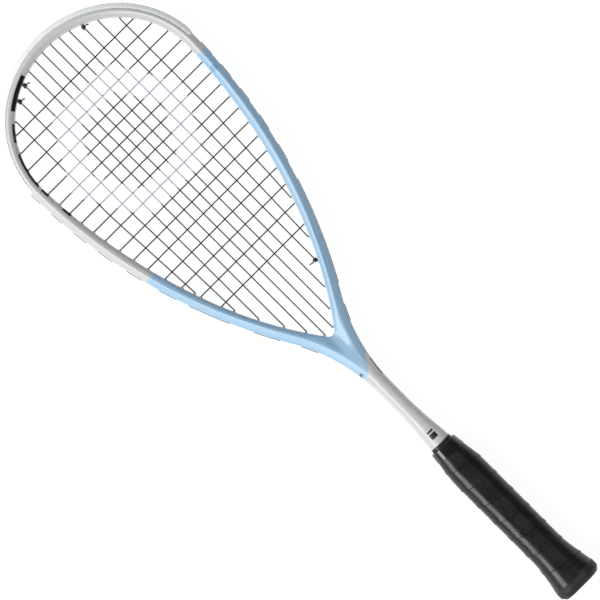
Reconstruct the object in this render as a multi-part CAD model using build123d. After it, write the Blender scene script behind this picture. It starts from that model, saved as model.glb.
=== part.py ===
"""Strung squash racket with a teardrop head.

X runs across the face, Y along the racket towards the tip of the head, and Z up through the string bed.
The racket lies flat. The origin is under the middle of its length, on the surface it lies on. Sizes are
in millimetres. Shapes are drawn about the plane of the strings and lifted by STRING_PLANE_Z when saved.
"""
import os
from math import radians, sin

from build123d import *

# Where the racket lies: its thickest part, the butt, touches the surface
BUTT_THICKNESS = 39.0
STRING_PLANE_Z = BUTT_THICKNESS / 2

# Hoop outlines, from the tip round the right side: radius and turn of each tangent arc
HEAD_CENTRE_Y = 235.9
OUTER_ARCS = [(105.4, -39.5), (94.2, -51.4), (520.0, -29.3), (170.0, 30.2)]
INNER_ARCS = [(94.5, -41.3), (83.0, -50.5), (544.0, -19.2), (391.0, -15.4)]

# Shaft: half-widths and where they hold, down to the end of the tube inside the handle
SHAFT_WAIST = (7.6, -120.0)
SHAFT_HANDLE = (10.45, -163.0)
SHAFT_END_Y = -332.0

# Section of the tube: a flat inner and outer wall, with two facets that rise to a ridge on each face
TUBE_HALF_DEPTH = 9.2
WALL_HALF_HEIGHT = 3.1
FACET_RUN = 4.9
CAVITY_OUTER_INSET = 3.0
CAVITY_INNER_INSET = 1.4
CAVITY_HALF_DEPTH = 6.8
CAVITY_WALL_HALF_HEIGHT = 2.4
CAVITY_RUN = 2.8
ARM_CAVITY_END_Y = -6.0
SHAFT_CAVITY_WIDTH = 9.0
SHAFT_CAVITY_DEPTH = 13.0
SHAFT_CAVITY_TOP_Y = -82.0

# Recess between the arms, on both faces of the throat
RECESS_TOP_Y = -26.0
RECESS_FACE = (15.5, -79.0)
RECESS_FLOOR = (9.0, -66.0)
RECESS_FLOOR_Z = 6.0

# Groove for the grommet strips, round the outer wall
GROOVE_DEPTH = 1.8
GROOVE_HALF_WIDTH = 2.3
GROOVE_END_Y = -42.0

# Grommet strips and bumper
STRIP_THICKNESS = 0.7
STRIP_GAP = 0.05
BARREL_RADIUS = 1.5
BORE_RADIUS = 0.85
TIE_BARREL_RADIUS = 2.0
TIE_BORE_RADIUS = 1.4
BARREL_STAND_OUT = 0.5
BORE_OVERRUN = 5.0
DRILL_OVERRUN = 1.0
BUMPER_THICKNESS = 1.7
BUMPER_HALF_DEPTH = 5.4
CHANNEL_HALF_WIDTH = 1.4
CHANNEL_OVERRUN = 1.0
BUMPER_END_Y = 246.0
SIDE_STRIP_Y = (62.0, 245.0)
LOWER_STRIP_Y = (-38.0, 61.0)

# Strings: main positions at the tip and at the lower arms, from the middle outwards
STRING_DIAMETER = 1.25
MAIN_TOP_X = [5.1, 14.9, 25.3, 36.8, 50.0, 65.0]
MAIN_LOW_X = [4.7, 14.3, 25.0, 36.4, 46.2, 60.0]
MAIN_BEND_Y = 185.0
CROSS_Y = [294.1, 279.9, 264.8, 250.6, 237.3, 223.5, 211.5, 198.2, 184.8,
           172.0, 156.8, 142.2, 127.5, 110.6, 94.6, 76.9, 57.8]
WEAVE_HEIGHT = 0.8
LANE = 0.66
WEAVE_RADIUS = 4.0
BEND_RADIUS = 2.0
SEAT_RADIUS = 1.2
MAIN_BEND_INSET = 1.9
CROSS_BEND_INSET = 1.2
GROOVE_BEND_RADIUS = 6.0
GROOVE_STEP = 14.0
HOP_HEIGHT = 1.35
HOP_SIDE_HEIGHT = 0.6

# Tie-off knots
KNOT_RADIUS = 2.2
KNOT_BORE = 1.25
KNOT_LENGTH = 2.8
KNOT_DISTANCE = 3.0
KNOT_DROP = 0.5
TAIL_LENGTH = 5.5

# Handle: half-width, half-thickness and corner radius of each section, by its place along Y
HANDLE_CORNER = 0.62
FOAM = [(-168.0, 11.3, 10.2), (-196.0, 15.45, 13.35), (-304.0, 15.45, 13.35)]
SLEEVE = [(-304.0, 15.45, 13.35), (-316.0, 17.2, 15.0), (-333.0, 20.2, 17.6)]
SLEEVE_WALL = 1.6
SOCKET_END_Y = -339.0
WRAP_THICKNESS = 1.9
TAPE_THICKNESS = 0.35
TAPE_END_Y = -178.0
COLLAR_Y = (-168.0, -164.8)
COLLAR_HALF = (11.0, 9.75)
RIM_HALF = (22.2, BUTT_THICKNESS / 2)
RIM_CHAMFER = 3.3
RIM_CHAMFER_Y = -338.8
BUTT_END_Y = -343.0
BADGE_RADIUS = 12.0
BADGE_THICKNESS = 1.2
STAPLE_CROWN = 10.0
STAPLE_LEG = 4.4
STAPLE_WIRE = 0.7
STAPLE_Y = -311.0
STAPLE_TOP_Z = 14.15

# Reach of the blocks and lines that pick out a region, all of them past the racket's own edges
REGION_WIDTH = 250.0
REGION_DEPTH = 80.0
PAST_TIP_Y = 400.0
PAST_SIDE_X = 110.0
OPENING_TOP_Y = 340.0
OPENING_FOOT_Y = -40.0
LOWER_FACE_Y = 110.0
PLUG_Y = (-345.0, -150.0)


def tangent_arcs(start, arcs):
    """Arcs that follow each other smoothly, the first heading along +X."""
    heading = (1, 0)
    edges = []
    for radius, turn in arcs:
        edges.append(JernArc(start, heading, radius, turn))
        start, heading = edges[-1] @ 1, edges[-1] % 1
    return edges


def symmetric_face(half):
    curve = Curve() + half
    return make_face(curve + mirror(curve, about=Plane.YZ))


def outer_face():
    """Outline of the bare frame, from the tip to the end of its shaft."""
    arcs = tangent_arcs((0, HEAD_CENTRE_Y + OUTER_ARCS[0][0]), OUTER_ARCS)
    handle_end = (SHAFT_HANDLE[0], SHAFT_END_Y)
    shaft = Polyline(arcs[-1] @ 1, SHAFT_WAIST, SHAFT_HANDLE, handle_end, (0, SHAFT_END_Y))
    return symmetric_face(arcs + [shaft])


def inner_face():
    """Outline of the strung opening, closed by a small round bend at the throat."""
    arcs = tangent_arcs((0, HEAD_CENTRE_Y + INNER_ARCS[0][0]), INNER_ARCS)
    last_turn = 180 + sum(turn for _, turn in INNER_ARCS)
    bend_radius = (arcs[-1] @ 1).X / sin(radians(last_turn))
    bend = JernArc(arcs[-1] @ 1, arcs[-1] % 1, bend_radius, -last_turn)
    return symmetric_face(arcs + [bend])


OUTER = outer_face()
INNER = inner_face()


def slab(low_y, high_y, side=0, depth=REGION_DEPTH):
    """A big block between two heights along Y, on one side of the racket or across both."""
    middle = (side * REGION_WIDTH / 2, (low_y + high_y) / 2, 0)
    return Pos(*middle) * Box(REGION_WIDTH, high_y - low_y, depth)


def sloped(face, rise, growth):
    """A solid on a face, whose walls slope so that its outline grows by some distance at the top."""
    top = Pos(0, 0, rise) * offset(face, growth, kind=Kind.INTERSECTION)
    return loft([face, top])


def faceted(outer, inner, wall_half, half_depth, run):
    """A plate with the flat walls and the sloping facets of the tube's section."""
    rise = half_depth - wall_half
    core = extrude(outer - inner, wall_half, both=True)
    top = Pos(0, 0, wall_half) * (sloped(outer, rise, -run) - sloped(inner, rise, run))
    return core + top + mirror(top, about=Plane.XY)


def band(inner_offset, outer_offset, half_height):
    """A strip that follows the outer wall, between two distances from it."""
    profile = offset(OUTER, outer_offset) - offset(OUTER, inner_offset)
    return extrude(profile, half_height, both=True)


def recess():
    """The hollow between the arms' ridges, on the upper face."""
    face_x, face_y = RECESS_FACE
    floor_x, floor_y = RECESS_FLOOR
    face = Polyline((-face_x, RECESS_TOP_Y), (face_x, RECESS_TOP_Y), (0, face_y), close=True)
    floor = Polyline((-floor_x, RECESS_TOP_Y), (floor_x, RECESS_TOP_Y), (0, floor_y), close=True)
    sections = [Pos(0, 0, RECESS_FLOOR_Z) * make_face(floor), Pos(0, 0, TUBE_HALF_DEPTH) * make_face(face)]
    return loft(sections)


def ring(inset):
    """The opening's outline, moved in from the frame, where strings bend into their holes."""
    return offset(INNER, -inset, kind=Kind.INTERSECTION).face().outer_wire()


OUTER_WIRE = OUTER.face().outer_wire()
MAIN_RING = ring(MAIN_BEND_INSET)
CROSS_RING = ring(CROSS_BEND_INSET)


def nearest(wire, target):
    """The point of a wire that is closest to a point, or where a line crosses the wire."""
    return wire.distance_to_with_closest_points(target)[1]


class Hole:
    """One grommet hole: the bend where its string enters, and the seat in the outer groove."""

    def __init__(self, wire, inside, outside, lane, shared=False):
        self.bend = nearest(wire, Edge.make_line(inside, outside))
        self.seat = nearest(OUTER_WIRE, self.bend)
        self.outward = (self.seat - self.bend).normalized()
        self.lane = lane
        self.height = 0 if shared else lane * LANE
        self.barrel_radius = TIE_BARREL_RADIUS if shared else BARREL_RADIUS
        self.bore_radius = TIE_BORE_RADIUS if shared else BORE_RADIUS

    def rod(self, radius, start, end):
        """A round bar along the hole, between two distances in from the outer wall."""
        origin = self.seat - self.outward * start + Vector(0, 0, self.height)
        plane = Plane(origin=origin, z_dir=-self.outward)
        return plane * Cylinder(radius, end - start, align=(Align.CENTER, Align.CENTER, Align.MIN))

    def depth(self):
        """Distance from the outer wall to the opening, along the hole."""
        return (nearest(INNER.face().outer_wire(), Edge.make_line(self.seat, self.bend)) - self.seat).length


def main_top_hole(side, index, shared):
    x = side * MAIN_TOP_X[index]
    return Hole(MAIN_RING, (x, HEAD_CENTRE_Y), (x, OPENING_TOP_Y), 1, shared)


def main_low_hole(side, index, shared):
    x = side * MAIN_LOW_X[index]
    return Hole(MAIN_RING, (x, LOWER_FACE_Y), (x, OPENING_FOOT_Y), 1, shared)


def cross_hole(side, y):
    return Hole(CROSS_RING, (0, y), (side * PAST_SIDE_X, y), -1)


MAINS = len(MAIN_TOP_X)
TIE_MAIN = 3
START_MAIN = 4
RIGHT, LEFT = 1, -1
TOP_HOLES = {side: [main_top_hole(side, i, i == TIE_MAIN or (side, i) == (LEFT, START_MAIN))
                    for i in range(MAINS)] for side in (LEFT, RIGHT)}
LOW_HOLES = {side: [main_low_hole(side, i, (side, i) == (RIGHT, TIE_MAIN)) for i in range(MAINS)]
             for side in (LEFT, RIGHT)}
CROSS_HOLES = {side: [cross_hole(side, y) for y in CROSS_Y] for side in (LEFT, RIGHT)}
ALL_HOLES = [hole for group in (TOP_HOLES, LOW_HOLES, CROSS_HOLES) for side in (LEFT, RIGHT)
             for hole in group[side]]


def frame():
    """Hollow one-piece tube: the hoop, the throat and the shaft that runs down into the handle."""
    body = faceted(OUTER, INNER, WALL_HALF_HEIGHT, TUBE_HALF_DEPTH, FACET_RUN)
    hollow = recess()
    body -= hollow
    body -= mirror(hollow, about=Plane.XY)
    body -= band(-GROOVE_DEPTH, BUMPER_THICKNESS, GROOVE_HALF_WIDTH) & slab(GROOVE_END_Y, PAST_TIP_Y)
    cavity_outer = offset(OUTER, -CAVITY_OUTER_INSET)
    cavity_inner = offset(INNER, CAVITY_INNER_INSET)
    cavity = faceted(cavity_outer, cavity_inner, CAVITY_WALL_HALF_HEIGHT, CAVITY_HALF_DEPTH, CAVITY_RUN)
    body -= cavity & slab(ARM_CAVITY_END_Y, PAST_TIP_Y)
    shaft_length = SHAFT_CAVITY_TOP_Y - SHAFT_END_Y
    shaft_middle = (SHAFT_CAVITY_TOP_Y + SHAFT_END_Y) / 2
    body -= Pos(0, shaft_middle, 0) * Box(SHAFT_CAVITY_WIDTH, shaft_length, SHAFT_CAVITY_DEPTH)
    drills = [hole.rod(hole.barrel_radius + STRIP_GAP, 0, hole.depth() + DRILL_OVERRUN) for hole in ALL_HOLES]
    return body - drills


def strip(low_y, high_y, side, holes):
    """A grommet strip: a floor that lies in the groove, and a barrel through each hole."""
    floor = band(-GROOVE_DEPTH + STRIP_GAP, STRIP_THICKNESS - GROOVE_DEPTH, GROOVE_HALF_WIDTH - STRIP_GAP)
    body = floor & slab(low_y, high_y, side)
    return bored(body, holes)


def bored(body, holes):
    """Barrels added to a strip's floor, each with the bore that its string runs through."""
    floor_depth = GROOVE_DEPTH - STRIP_THICKNESS
    body += [hole.rod(hole.barrel_radius, floor_depth, hole.depth() + BARREL_STAND_OUT) for hole in holes]
    return body - [hole.rod(hole.bore_radius, -BORE_OVERRUN, hole.depth() + BORE_OVERRUN) for hole in holes]


def bumper_guard():
    """The guard over the head: it caps the outer wall, and its barrels line the upper holes."""
    shell = offset(OUTER, BUMPER_THICKNESS)
    blank = faceted(shell, INNER, WALL_HALF_HEIGHT, TUBE_HALF_DEPTH, FACET_RUN)
    bare = faceted(OUTER, INNER, WALL_HALF_HEIGHT, TUBE_HALF_DEPTH, FACET_RUN)
    zone = slab(BUMPER_END_Y, PAST_TIP_Y, depth=2 * BUMPER_HALF_DEPTH)
    cap = (blank - bare) & zone
    floor = band(-GROOVE_DEPTH + STRIP_GAP, BUMPER_THICKNESS / 2, GROOVE_HALF_WIDTH - STRIP_GAP) & zone
    channel = band(STRIP_THICKNESS - GROOVE_DEPTH, BUMPER_THICKNESS + CHANNEL_OVERRUN, CHANNEL_HALF_WIDTH)
    body = cap + floor - channel
    holes = [hole for side in (LEFT, RIGHT) for hole in TOP_HOLES[side] + CROSS_HOLES[side]
             if hole.seat.Y > BUMPER_END_Y]
    return bored(body, holes)


class Path:
    """The points that a string follows, with the radius it turns at each of them."""

    def __init__(self, start):
        self.points = [start]
        self.radii = []

    def turn(self, point, radius):
        self.points.append(point)
        self.radii.append(radius)

    def through(self, hole, lane, outward):
        """Pass through a hole, out to the groove or in to the opening."""
        lift = Vector(0, 0, lane * LANE)
        stops = [(hole.bend + lift, BEND_RADIUS), (hole.seat + lift, SEAT_RADIUS)]
        for point, radius in (stops if outward else reversed(stops)):
            self.turn(point, radius)

    def along_groove(self, first, second, lane):
        """Follow the outer wall from one hole to another, past any holes between them."""
        steps = round((second.seat - first.seat).length / GROOVE_STEP)
        for step in range(1, steps):
            self.turn(groove_point(first, second, step / steps, 0, lane), GROOVE_BEND_RADIUS)

    def solid(self, end):
        wire = FilletPolyline(*self.points, end, radius=self.radii).wire()
        section = Plane(origin=wire @ 0, z_dir=wire % 0) * Circle(STRING_DIAMETER / 2)
        return sweep(section, path=wire)


def groove_point(first, second, share, rise, lane):
    """A point over the outer wall, part of the way between two holes on the same side."""
    chord = first.seat * (1 - share) + second.seat * share
    outward = (first.outward * (1 - share) + second.outward * share).normalized()
    return nearest(OUTER_WIRE, chord) + outward * rise + Vector(0, 0, lane * LANE)


def main_x(side, index, y):
    """Place across the face of a main string: upright above, then leaning to its lower hole."""
    lean = max(0, MAIN_BEND_Y - y) / (MAIN_BEND_Y - LOW_HOLES[side][index].bend.Y)
    return side * (MAIN_TOP_X[index] - lean * (MAIN_TOP_X[index] - MAIN_LOW_X[index]))


def crossings(side, index):
    """Where a main string meets the cross strings, from the tip down."""
    found = []
    for row, y in enumerate(CROSS_Y):
        x = main_x(side, index, y)
        if y > LOW_HOLES[side][index].bend.Y and abs(x) < CROSS_HOLES[RIGHT][row].bend.X:
            column = MAINS + index if side == RIGHT else MAINS - 1 - index
            above = 1 if (column + row) % 2 == 0 else -1
            found.append((row, x, y, above * WEAVE_HEIGHT))
    return found


def main_run(path, side, index, downward):
    """One main string, from one of its holes to the other."""
    points = [Vector(x, y, z) for _, x, y, z in crossings(side, index)]
    for point in (points if downward else reversed(points)):
        path.turn(point, WEAVE_RADIUS)


def cross_run(path, row, rightward):
    points = [Vector(x, y, -z) for side in (LEFT, RIGHT) for index in range(MAINS)
              for found, x, y, z in crossings(side, index) if found == row]
    for point in sorted(points, key=lambda place: place.X if rightward else -place.X):
        path.turn(point, WEAVE_RADIUS)


def tie_route(path, side, leaving):
    """From the tie-off hole, over the next hole, to the outermost main's hole, or back."""
    tie, between, last = TOP_HOLES[side][TIE_MAIN:]
    stops = [groove_point(tie, between, 0.5, HOP_SIDE_HEIGHT, -1), between.seat + between.outward * HOP_HEIGHT,
             groove_point(between, last, 0.5, HOP_SIDE_HEIGHT, 1)]
    for point in (stops if leaving else reversed(stops)):
        path.turn(point, GROOVE_BEND_RADIUS)


def knot_place(hole, toward):
    """The middle of a knot on the string that shares its hole, and the end of the tied string."""
    middle = hole.bend + Vector(0, toward * KNOT_DISTANCE, LANE)
    end = middle - Vector(0, toward * KNOT_LENGTH / 2, 2 * LANE + KNOT_DROP)
    return middle, end


def main_string():
    """The string that makes all the upright runs, tied off at both shoulders."""
    left_tie, right_tie = TOP_HOLES[LEFT][TIE_MAIN], TOP_HOLES[RIGHT][TIE_MAIN]
    path = Path(knot_place(left_tie, -1)[1])
    path.through(left_tie, -1, True)
    tie_route(path, LEFT, True)
    columns = [(LEFT, index) for index in reversed(range(MAINS))] + [(RIGHT, index) for index in range(MAINS)]
    for place, (side, index) in enumerate(columns):
        downward = place % 2 == 0
        upper, lower = TOP_HOLES[side][index], LOW_HOLES[side][index]
        path.through(upper if downward else lower, 1, False)
        main_run(path, side, index, downward)
        path.through(lower if downward else upper, 1, True)
        if downward:
            path.along_groove(lower, LOW_HOLES[side][index + side], 1)
        elif place + 1 < len(columns):
            next_side, next_index = columns[place + 1]
            path.along_groove(upper, TOP_HOLES[next_side][next_index], 1)
    tie_route(path, RIGHT, False)
    path.through(right_tie, -1, False)
    return path.solid(knot_place(right_tie, -1)[1])


def cross_string():
    """The string that makes all the level runs, tied off at the left shoulder and the right arm."""
    start, finish = TOP_HOLES[LEFT][START_MAIN], LOW_HOLES[RIGHT][TIE_MAIN]
    path = Path(knot_place(start, -1)[1])
    path.through(start, -1, True)
    path.along_groove(start, CROSS_HOLES[LEFT][0], -1)
    for row in range(len(CROSS_Y)):
        rightward = row % 2 == 0
        near, far = (LEFT, RIGHT) if rightward else (RIGHT, LEFT)
        path.through(CROSS_HOLES[near][row], -1, False)
        cross_run(path, row, rightward)
        path.through(CROSS_HOLES[far][row], -1, True)
        if row + 1 < len(CROSS_Y):
            path.along_groove(CROSS_HOLES[far][row], CROSS_HOLES[far][row + 1], -1)
    path.along_groove(CROSS_HOLES[RIGHT][-1], finish, -1)
    path.through(finish, -1, False)
    return path.solid(knot_place(finish, 1)[1])


def knot(hole, toward):
    """A tied knot round a main string, with its trimmed tail."""
    middle = knot_place(hole, toward)[0]
    coil = Rot(90, 0, 0) * (Cylinder(KNOT_RADIUS, KNOT_LENGTH) - Cylinder(KNOT_BORE, KNOT_LENGTH))
    tail = Cylinder(STRING_DIAMETER / 2, TAIL_LENGTH, align=(Align.CENTER, Align.CENTER, Align.MIN))
    tail = Pos(0, 0, -(KNOT_RADIUS + KNOT_BORE) / 2) * Rot(0, -90 if hole.seat.X < 0 else 90, 0) * tail
    return Pos(*middle) * (coil + tail)


def handle_section(y, half_width, half_thickness):
    plane = Plane(origin=(0, y, 0), x_dir=(1, 0, 0), z_dir=(0, -1, 0))
    corner = HANDLE_CORNER * half_thickness
    return plane * RectangleRounded(2 * half_width, 2 * half_thickness, corner)


def handle_loft(stations, growth=0.0):
    """A solid through the handle's sections, each moved out by the same distance."""
    sections = [handle_section(y, width + growth, depth + growth) for y, width, depth in stations]
    return loft(sections, ruled=True)


def shaft_plug():
    """The shaft as a solid, to cut its place out of what surrounds it."""
    return faceted(OUTER, INNER, WALL_HALF_HEIGHT, TUBE_HALF_DEPTH, FACET_RUN) & slab(*PLUG_Y)


def socket():
    """The straight hole in the butt cap that the end of the handle fits."""
    top, half_width, half_thickness = SLEEVE[0]
    half_sizes = (half_width - SLEEVE_WALL, half_thickness - SLEEVE_WALL)
    return handle_loft([(top, *half_sizes), (SOCKET_END_Y, *half_sizes)])


def staples():
    """Two wire staples, one on each face, that pin the butt cap to the handle."""
    crown = Box(STAPLE_CROWN, STAPLE_WIRE, STAPLE_WIRE, align=(Align.CENTER, Align.CENTER, Align.MAX))
    leg = Box(STAPLE_WIRE, STAPLE_WIRE, STAPLE_LEG, align=(Align.CENTER, Align.CENTER, Align.MAX))
    reach = (STAPLE_CROWN - STAPLE_WIRE) / 2
    staple = Pos(0, STAPLE_Y, STAPLE_TOP_Z) * (crown + Pos(reach, 0, 0) * leg + Pos(-reach, 0, 0) * leg)
    return [staple, mirror(staple, about=Plane.XY)]


def handle_foam():
    return handle_loft(FOAM) + socket() - shaft_plug() - staples()


def butt_cap():
    """The moulded cap: a sleeve under the wrap and a rim that flares past it."""
    rim_width, rim_thickness = RIM_HALF
    rim = [(SLEEVE[-1][0], *RIM_HALF), (RIM_CHAMFER_Y, *RIM_HALF),
           (BUTT_END_Y, rim_width - RIM_CHAMFER, rim_thickness - RIM_CHAMFER)]
    body = handle_loft(SLEEVE) + handle_loft(rim) - socket()
    return body - butt_badge() - staples()


def butt_badge():
    plane = Plane(origin=(0, BUTT_END_Y, 0), z_dir=(0, 1, 0))
    return plane * Cylinder(BADGE_RADIUS, BADGE_THICKNESS, align=(Align.CENTER, Align.CENTER, Align.MIN))


def grip_wrap():
    """The wound grip as one closed sleeve over the foam and the butt cap."""
    stations = FOAM + SLEEVE[1:]
    return handle_loft(stations, WRAP_THICKNESS) - handle_loft(stations)


def finishing_tape():
    """The band that holds the upper end of the wrap."""
    (top_y, top_width, top_depth), (low_y, low_width, low_depth) = FOAM[:2]
    share = (TAPE_END_Y - top_y) / (low_y - top_y)
    end = (TAPE_END_Y, top_width + share * (low_width - top_width), top_depth + share * (low_depth - top_depth))
    stations = [FOAM[0], end]
    return handle_loft(stations, WRAP_THICKNESS + TAPE_THICKNESS) - handle_loft(stations, WRAP_THICKNESS)


def grip_collar():
    low, high = COLLAR_Y
    return handle_loft([(low, *COLLAR_HALF), (high, *COLLAR_HALF)]) - shaft_plug()


def strip_holes(side, low_y, high_y):
    holes = CROSS_HOLES[side] + LOW_HOLES[side]
    return [hole for hole in holes if low_y < hole.seat.Y < high_y]


def save(name, shape):
    export_step(Pos(0, 0, STRING_PLANE_Z) * shape, f"parts/{name}.step")


os.makedirs("parts", exist_ok=True)
save("frame", frame())
save("bumper_guard", bumper_guard())
for label, side in (("left", LEFT), ("right", RIGHT)):
    save(f"side_grommet_strip_{label}", strip(*SIDE_STRIP_Y, side, strip_holes(side, *SIDE_STRIP_Y)))
    save(f"lower_grommet_strip_{label}", strip(*LOWER_STRIP_Y, side, strip_holes(side, *LOWER_STRIP_Y)))
    save(f"main_knot_{label}", knot(TOP_HOLES[side][TIE_MAIN], -1))
save("cross_knot_top", knot(TOP_HOLES[LEFT][START_MAIN], -1))
save("cross_knot_bottom", knot(LOW_HOLES[RIGHT][TIE_MAIN], 1))
save("handle_foam", handle_foam())
save("butt_cap", butt_cap())
save("butt_badge", butt_badge())
save("butt_cap_staples", Compound(children=[part for staple in staples() for part in staple.solids()]))
save("grip_wrap", grip_wrap())
save("finishing_tape", finishing_tape())
save("grip_collar", grip_collar())
save("main_string", main_string())
save("cross_string", cross_string())
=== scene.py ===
from math import ceil, cos, pi, radians, sin

import bmesh
import bpy
import numpy as np
from mathutils import Matrix

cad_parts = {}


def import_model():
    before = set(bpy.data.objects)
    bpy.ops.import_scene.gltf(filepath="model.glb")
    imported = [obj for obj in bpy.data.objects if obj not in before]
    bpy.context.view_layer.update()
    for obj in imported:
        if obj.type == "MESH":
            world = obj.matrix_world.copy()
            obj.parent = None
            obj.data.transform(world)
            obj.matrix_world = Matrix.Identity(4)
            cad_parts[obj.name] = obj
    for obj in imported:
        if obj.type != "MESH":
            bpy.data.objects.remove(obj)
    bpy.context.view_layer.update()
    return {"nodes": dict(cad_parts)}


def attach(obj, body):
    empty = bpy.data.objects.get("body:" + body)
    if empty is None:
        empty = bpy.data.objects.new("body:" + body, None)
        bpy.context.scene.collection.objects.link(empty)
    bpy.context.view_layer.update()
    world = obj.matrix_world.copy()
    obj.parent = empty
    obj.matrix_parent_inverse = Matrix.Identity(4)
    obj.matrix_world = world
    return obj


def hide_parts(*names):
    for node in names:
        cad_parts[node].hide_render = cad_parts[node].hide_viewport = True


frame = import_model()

# The racket lies flat, its strings' plane this far above the floor. Lengths here are in millimetres
MM = 0.001
STRING_PLANE_Z = 19.5

# Outlines, from the tip round the right side: radius and turn in degrees of each tangent arc
HEAD_CENTRE_Y = 235.9
OUTER_ARCS = [(105.4, -39.5), (94.2, -51.4), (520.0, -29.3), (170.0, 30.2)]
INNER_ARCS = [(94.5, -41.3), (83.0, -50.5), (544.0, -19.2), (391.0, -15.4)]
# The shaft's outline below the arcs, as points
SHAFT = [(7.6, -120.0), (7.95, -129.0), (8.35, -138.0), (9.1, -147.0), (9.95, -155.5), (10.45, -163.0),
         (10.45, -200.0)]

# Strings: radius, places at the tip and at the foot, and the height at which the uprights start to lean
STRING_RADIUS = 0.625
MAIN_TOP_X = [5.1, 14.9, 25.3, 36.8, 50.0, 65.0]
MAIN_LOW_X = [4.7, 14.3, 25.0, 36.4, 46.2, 60.0]
MAIN_BEND_Y = 185.0
CROSS_Y = [294.1, 279.9, 264.8, 250.6, 237.3, 223.5, 211.5, 198.2, 184.8,
           172.0, 156.8, 142.2, 127.5, 110.6, 94.6, 76.9, 57.8]
UPRIGHTS_A_SIDE = len(MAIN_TOP_X)
# How far the spline's points stand above or below the strings' plane where two strings cross, and in a hole
WEAVE_HEIGHT = 1.32
LANE = 0.66
# Gap between the inner wall and a string's bend, and how far its turns are eased
MAIN_INSET = 1.4
CROSS_INSET = 1.0
BEND_EASE = 0.8
SEAT_EASE = 1.2
GROOVE_STEP = 8.0
# Uprights, counted from the middle, whose holes also hold a tied end
TIE_MAIN = 3
START_MAIN = 4
LEFT, RIGHT = -1, 1

# Guards and strips
BUMPER_END_Y = 246.0
SIDE_STRIP_Y = (62.0, 245.0)
LOWER_STRIP_Y = (-38.0, 61.0)
GROOVE_END_Y = -42.0
BARREL_STAND_OUT = 0.45

# Handle
FOAM = [(-168.0, 11.3, 10.2), (-196.0, 15.45, 13.35), (-304.0, 15.45, 13.35), (-316.0, 17.2, 15.0),
        (-333.0, 20.2, 17.6)]
HANDLE_CORNER = 0.74
WRAP_THICKNESS = 1.9
TAPE_THICKNESS = 0.35
TAPE_END_Y = -178.0
RIM_HALF = (22.2, 19.5)
COLLAR_HALF = (11.0, 9.75)
RING = 112
SEAM_START_Y = -322.0
SEAM_PITCH = 20.5


# ---- lines in the racket's plane

def arc_line(start, arcs, step=0.6):
    """Points along tangent arcs, the first of which heads along +X."""
    point, heading = np.array(start, float), 0.0
    points = [point]
    for radius, turn in arcs:
        side = 1 if turn > 0 else -1
        centre = point + side * radius * np.array([-sin(heading), cos(heading)])
        count = max(3, round(radius * radians(abs(turn)) / step))
        for share in np.arange(1, count + 1) / count:
            angle = heading + radians(turn) * share
            points.append(centre + side * radius * np.array([sin(angle), -cos(angle)]))
        point, heading = points[-1], heading + radians(turn)
    return np.array(points)


def lengths(line):
    return np.concatenate([[0], np.cumsum(np.linalg.norm(np.diff(line, axis=0), axis=1))])


def resample(line, count):
    """The same line with a number of points spaced evenly along it."""
    along = lengths(line)
    wanted = np.linspace(0, along[-1], count)
    return np.array([np.interp(wanted, along, line[:, axis]) for axis in range(line.shape[1])]).T


def rightward(line):
    """Unit normals on the right of a line's direction, which is the inside of an outline."""
    run = np.gradient(line, axis=0)
    run /= np.linalg.norm(run, axis=1)[:, None]
    return np.array([run[:, 1], -run[:, 0]]).T


def nearest(line, point):
    start, run = line[:-1], np.diff(line, axis=0)
    share = np.clip(((point - start) * run).sum(1) / (run ** 2).sum(1), 0, 1)
    found = start + share[:, None] * run
    return found[np.argmin(((found - point) ** 2).sum(1))]


def smooth(value, low, high):
    """0 below one end, 1 above the other, and an even rise between."""
    share = np.clip((value - low) / (high - low), 0, 1)
    return share * share * (3 - 2 * share)


OUTER_HOOP = arc_line((0, HEAD_CENTRE_Y + OUTER_ARCS[0][0]), OUTER_ARCS)
OUTER = np.vstack([OUTER_HOOP, resample(np.array([OUTER_HOOP[-1], *SHAFT]), 180)[1:]])
HOOP_IN = arc_line((0, HEAD_CENTRE_Y + INNER_ARCS[0][0]), INNER_ARCS)
THROAT_TURN = 180 + sum(turn for _, turn in INNER_ARCS)
THROAT_RADIUS = HOOP_IN[-1][0] / sin(radians(THROAT_TURN))
INNER = arc_line((0, HEAD_CENTRE_Y + INNER_ARCS[0][0]), INNER_ARCS + [(THROAT_RADIUS, -THROAT_TURN)])


# ---- meshes

def smooth_shading(mesh):
    mesh.polygons.foreach_set("use_smooth", [True] * len(mesh.polygons))


def add_to_scene(name, data):
    obj = bpy.data.objects.new(name, data)
    bpy.context.scene.collection.objects.link(obj)
    return obj


def in_metres(points):
    """Points about the strings' plane in millimetres, as places in the scene."""
    return (np.asarray(points, float) + [0, 0, STRING_PLANE_Z]) * MM


def new_object(name, verts, faces, material):
    """A smooth-shaded mesh from points in millimetres about the strings' plane."""
    mesh = bpy.data.meshes.new(name)
    mesh.from_pydata(in_metres(verts).tolist(), [], faces)
    obj = add_to_scene(name, mesh)
    mesh.materials.append(material)
    clean(mesh)
    smooth_shading(mesh)
    return obj


def clean(mesh, distance=0.002 * MM):
    """Join points that meet and turn every face outwards."""
    work = bmesh.new()
    work.from_mesh(mesh)
    bmesh.ops.remove_doubles(work, verts=work.verts, dist=distance)
    bmesh.ops.dissolve_degenerate(work, edges=work.edges, dist=distance)
    loose = [v for v in work.verts if not v.link_faces]
    bmesh.ops.delete(work, geom=loose, context="VERTS")
    bmesh.ops.recalc_face_normals(work, faces=work.faces)
    work.to_mesh(mesh)
    work.free()


def grid_faces(rows, columns, ring=False):
    """Quads between closed rows of points. A ring also joins the last row to the first."""
    faces = []
    for r in range(rows if ring else rows - 1):
        for c in range(columns):
            near, far = r * columns, (r + 1) % rows * columns
            faces.append((near + c, near + (c + 1) % columns, far + (c + 1) % columns, far + c))
    return faces


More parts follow.
